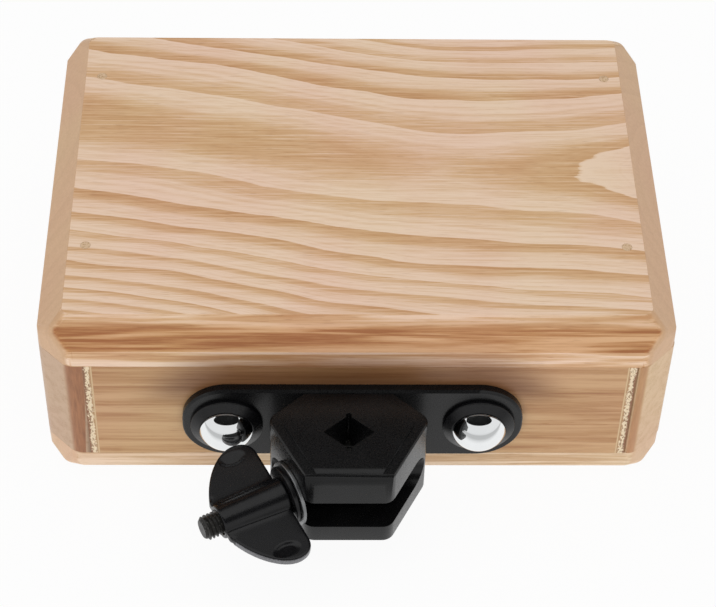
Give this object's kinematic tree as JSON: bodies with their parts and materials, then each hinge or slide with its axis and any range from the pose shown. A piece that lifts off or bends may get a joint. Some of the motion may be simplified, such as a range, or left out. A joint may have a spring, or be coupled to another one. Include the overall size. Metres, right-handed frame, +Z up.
{
  "type": "woodblock",
  "caption": "Hollow hardwood block with a sound slot along one side and, on the other, a bolted rod clamp whose eye bolt is drawn tight by a wing nut.",
  "frame": {"origin": "on the resting face of the bottom plate, under the middle of the wooden block", "axes": "+X along the block, +Y from the clamp side to the sound slot side, +Z up from the resting face to the struck face"},
  "size_m": [0.2, 0.2019, 0.072],
  "materials": {
    "ash_plate": "clear satin lacquer",
    "ash_rail": "clear satin lacquer",
    "ash_end_grain": "clear satin lacquer",
    "wood_filler": "matt",
    "bright_pin_steel": "bright drawn",
    "black_nylon": "satin moulded",
    "black_nylon_washer": "satin moulded",
    "chromed_steel": "polished",
    "zinc_plated_steel": "zinc plated",
    "blackened_steel": "blackened, worn on the thread",
    "black_coated_zinc": "satin black coat"
  },
  "bodies": {
    "block": {"top_plate": "ash_plate", "bottom_plate": "ash_plate", "mount_rail": "ash_rail", "slot_rail": "ash_rail", "end_block_left": "ash_end_grain", "end_block_right": "ash_end_grain", "seam_fillers": "wood_filler", "top_pins": "bright_pin_steel", "bottom_pins": "bright_pin_steel", "top_pin_fillers": "wood_filler", "bottom_pin_fillers": "wood_filler", "clamp_bracket": "black_nylon", "ring_washers": "black_nylon", "bracket_bolts": "chromed_steel", "inner_washers": "zinc_plated_steel", "inner_nuts": "zinc_plated_steel", "steel_washer": "zinc_plated_steel"},
    "eye": {"eyebolt": "blackened_steel"},
    "nut": {"wing_nut": "black_coated_zinc", "black_washer": "black_nylon_washer"}
  },
  "joints": [
    {"name": "nut_turn", "type": "hinge", "parent": "block", "child": "nut", "pos_m": [-0.02296, -0.10346, 0.0301], "axis": [-0.8861, -0.4636, 0], "range_deg": [-864, 360]},
    {"name": "eye_draw", "type": "slide", "parent": "block", "child": "eye", "axis": [-0.8861, -0.4636, 0], "range_m": [-0.00126, 0.00301]}
  ],
  "couplings": [
    {"joint": "eye_draw", "follows": "nut_turn", "m_per_rad": -0.00019894}
  ]
}
